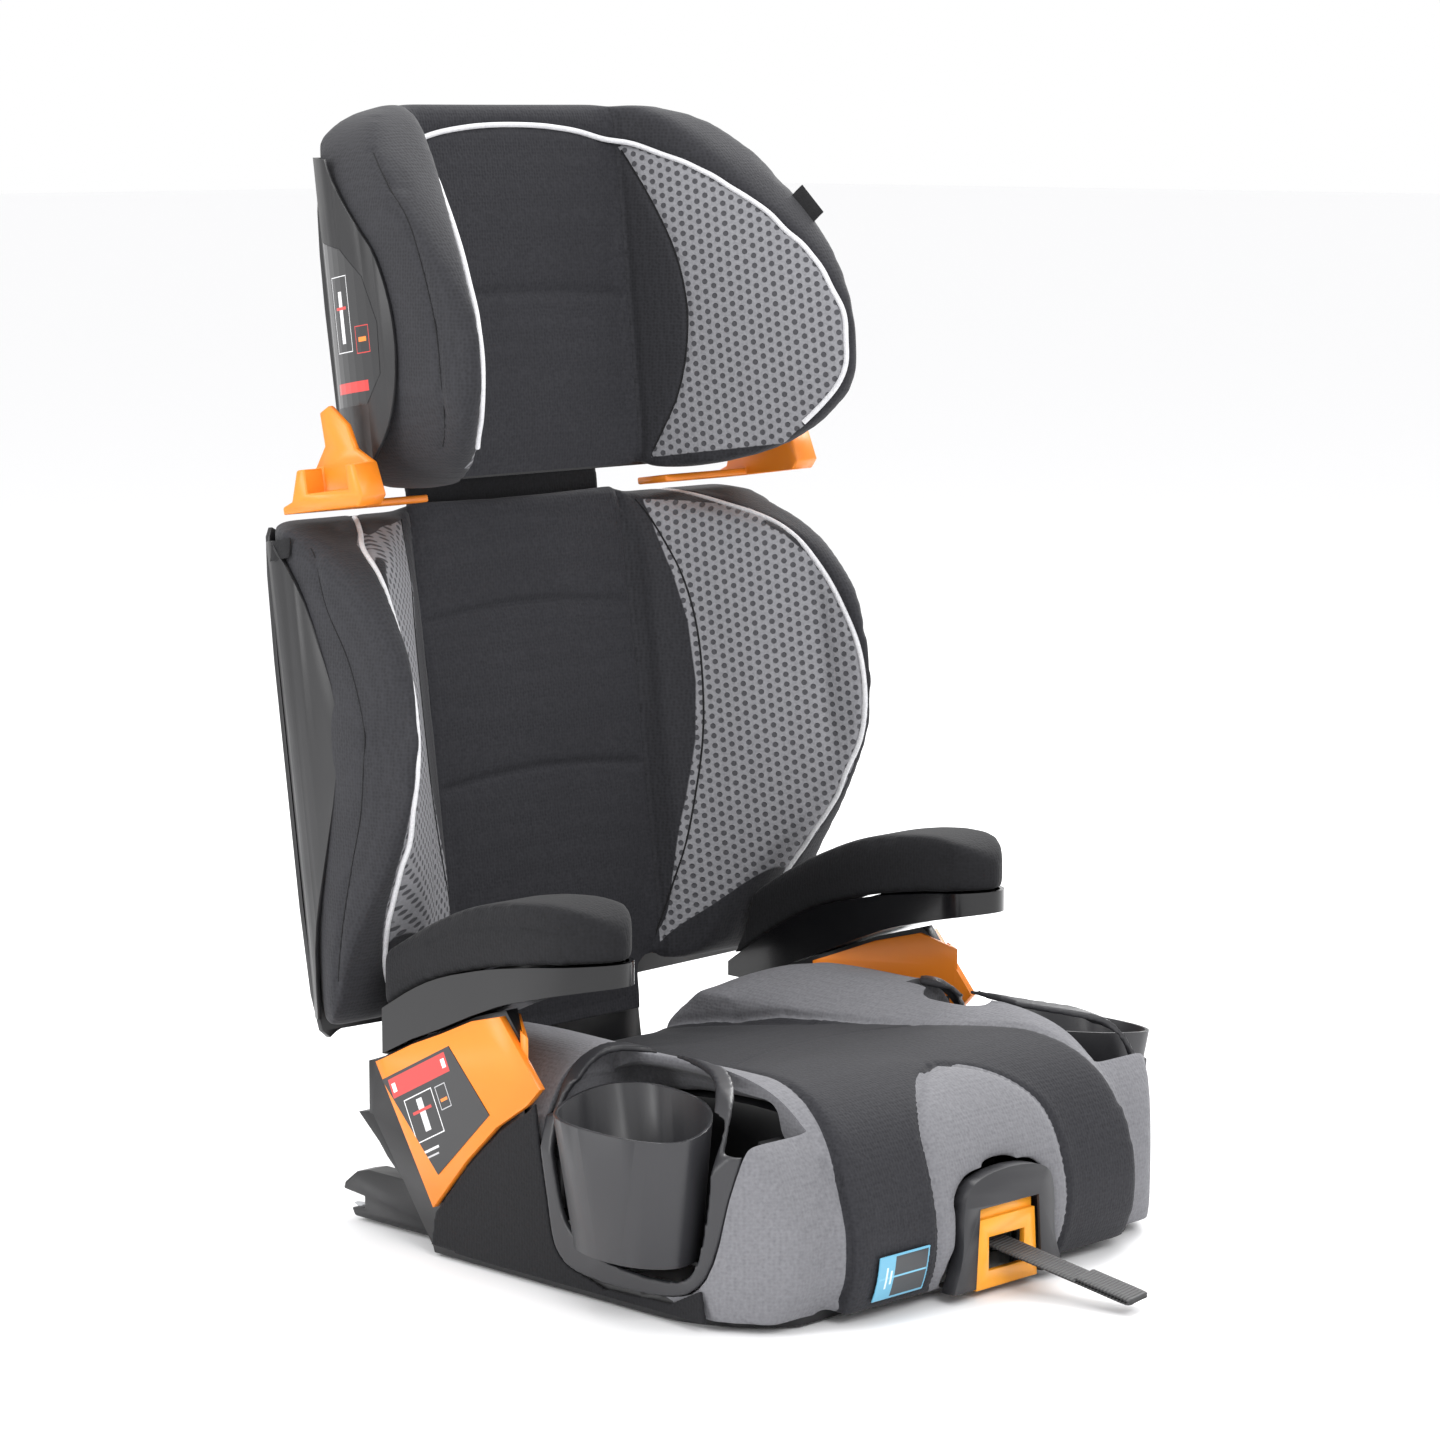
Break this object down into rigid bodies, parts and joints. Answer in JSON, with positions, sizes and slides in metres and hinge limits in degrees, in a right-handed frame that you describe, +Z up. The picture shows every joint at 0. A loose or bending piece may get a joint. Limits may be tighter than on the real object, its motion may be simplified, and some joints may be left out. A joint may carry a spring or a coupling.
{
  "type": "booster seat",
  "caption": "High-back child booster seat with padded seat, armrests, fold-in cup holders, pull-out anchor connectors and a backrest whose winged headrest slides up.",
  "frame": {"origin": "middle of the resting face on the underside of the base", "axes": "+X is the seat's right-hand side seen from the front, the seat faces -Y, +Z is up"},
  "size_m": [0.4784, 0.6137, 0.7477],
  "materials": {
    "moulded_black": "fine moulded texture",
    "moulded_grey": "satin moulded",
    "gloss_black": "glossy",
    "orange_plastic": "satin moulded",
    "amber_plastic": "satin moulded",
    "nylon": "satin",
    "button_red": "satin",
    "rubber_feet": "matte",
    "charcoal_fabric": "knitted polyester",
    "black_fabric": "knitted polyester",
    "grey_fabric": "knitted polyester",
    "mesh_fabric": "spacer mesh",
    "webbing": "ribbed webbing",
    "patch": "woven patch",
    "label_film": "printed film",
    "steel": "zinc plated"
  },
  "bodies": {
    "base": {"base_shell": "moulded_black", "base_feet": "rubber_feet", "seat_pad": "charcoal_fabric", "thigh_bolster_left": "grey_fabric", "thigh_bolster_right": "grey_fabric", "front_bib": "grey_fabric", "front_bezel": "moulded_grey", "seat_patch": "patch", "side_skirt_left": "black_fabric", "side_skirt_right": "black_fabric", "armrest_tray_left": "gloss_black", "armrest_tray_right": "gloss_black", "armrest_pad_left": "black_fabric", "armrest_pad_right": "black_fabric", "lap_guide_left": "orange_plastic", "lap_guide_right": "orange_plastic", "lap_label_left": "label_film", "lap_label_right": "label_film", "cup_bezel_left": "moulded_grey", "cup_bezel_right": "moulded_grey", "cup_hinge_pins": "steel", "recline_bar": "steel", "tab_pin": "steel", "strap_adjuster": "steel", "base_screws": "steel"},
    "release_tab": {"release_tab": "amber_plastic"},
    "pull_strap": {"pull_strap": "webbing"},
    "connector_left": {"latch_left": "moulded_black", "latch_jaw_left": "steel", "latch_strap_left": "webbing"},
    "connector_right": {"latch_right": "moulded_black", "latch_jaw_right": "steel", "latch_strap_right": "webbing"},
    "latch_button_left": {"latch_button_left": "button_red"},
    "latch_button_right": {"latch_button_right": "button_red"},
    "cup_left": {"cup_left": "moulded_grey"},
    "cup_right": {"cup_right": "moulded_grey"},
    "back": {"back_shell": "moulded_black", "back_pad": "charcoal_fabric", "back_wing_left": "mesh_fabric", "back_wing_right": "mesh_fabric", "rear_cover": "moulded_black", "notch_rack": "nylon", "cover_screws": "steel"},
    "headrest": {"head_shell": "moulded_black", "head_pad": "charcoal_fabric", "head_wing_left": "mesh_fabric", "head_wing_right": "mesh_fabric", "head_stem": "moulded_black", "head_apron": "charcoal_fabric", "belt_guide_left": "orange_plastic", "belt_guide_right": "orange_plastic", "head_label_left": "label_film", "head_label_right": "label_film"},
    "height_handle": {"height_handle": "moulded_grey"},
    "height_pawl": {"height_pawl": "nylon"}
  },
  "joints": [
    {"name": "cup_left_fold", "type": "hinge", "parent": "base", "child": "cup_left", "pos_m": [-0.192, -0.008, 0.08], "axis": [0, 0, 1], "range_deg": [0, 18]},
    {"name": "cup_right_fold", "type": "hinge", "parent": "base", "child": "cup_right", "pos_m": [0.192, -0.008, 0.08], "axis": [0, 0, -1], "range_deg": [0, 18]},
    {"name": "release_tab_pull", "type": "hinge", "parent": "base", "child": "release_tab", "pos_m": [0, -0.199, 0.053], "axis": [-1, 0, 0], "range_deg": [0, 18], "stiffness_Nm_per_rad": 0.25, "springref_deg": -5.73},
    {"name": "strap_pull", "type": "slide", "parent": "base", "child": "pull_strap", "axis": [0.1859, -0.9565, -0.225], "range_m": [-0.04, 0.05]},
    {"name": "connector_left_slide", "type": "slide", "parent": "base", "child": "connector_left", "axis": [0, 1, 0], "range_m": [-0.05, 0.04]},
    {"name": "latch_button_left_press", "type": "slide", "parent": "connector_left", "child": "latch_button_left", "axis": [0, 0, -1], "range_m": [0, 0.003], "stiffness_N_per_m": 300, "springref_m": -0.002},
    {"name": "connector_right_slide", "type": "slide", "parent": "base", "child": "connector_right", "axis": [0, 1, 0], "range_m": [-0.05, 0.04]},
    {"name": "latch_button_right_press", "type": "slide", "parent": "connector_right", "child": "latch_button_right", "axis": [0, 0, -1], "range_m": [0, 0.003], "stiffness_N_per_m": 300, "springref_m": -0.002},
    {"name": "back_recline", "type": "hinge", "parent": "base", "child": "back", "pos_m": [0, 0.212, 0.048], "axis": [-1, 0, 0], "range_deg": [0, 12]},
    {"name": "headrest_height", "type": "slide", "parent": "back", "child": "headrest", "axis": [0, 0.1392, 0.9903], "range_m": [0, 0.12]},
    {"name": "handle_squeeze", "type": "slide", "parent": "headrest", "child": "height_handle", "axis": [0, 0.1392, 0.9903], "range_m": [0, 0.008], "stiffness_N_per_m": 600, "springref_m": -0.002},
    {"name": "pawl_draw", "type": "slide", "parent": "headrest", "child": "height_pawl", "axis": [0, -0.9903, 0.1392], "range_m": [0, 0.004]}
  ],
  "couplings": [
    {"joint": "connector_left_slide", "follows": "strap_pull", "ratio": -1},
    {"joint": "connector_right_slide", "follows": "strap_pull", "ratio": -1},
    {"joint": "pawl_draw", "follows": "handle_squeeze", "ratio": 0.5}
  ]
}
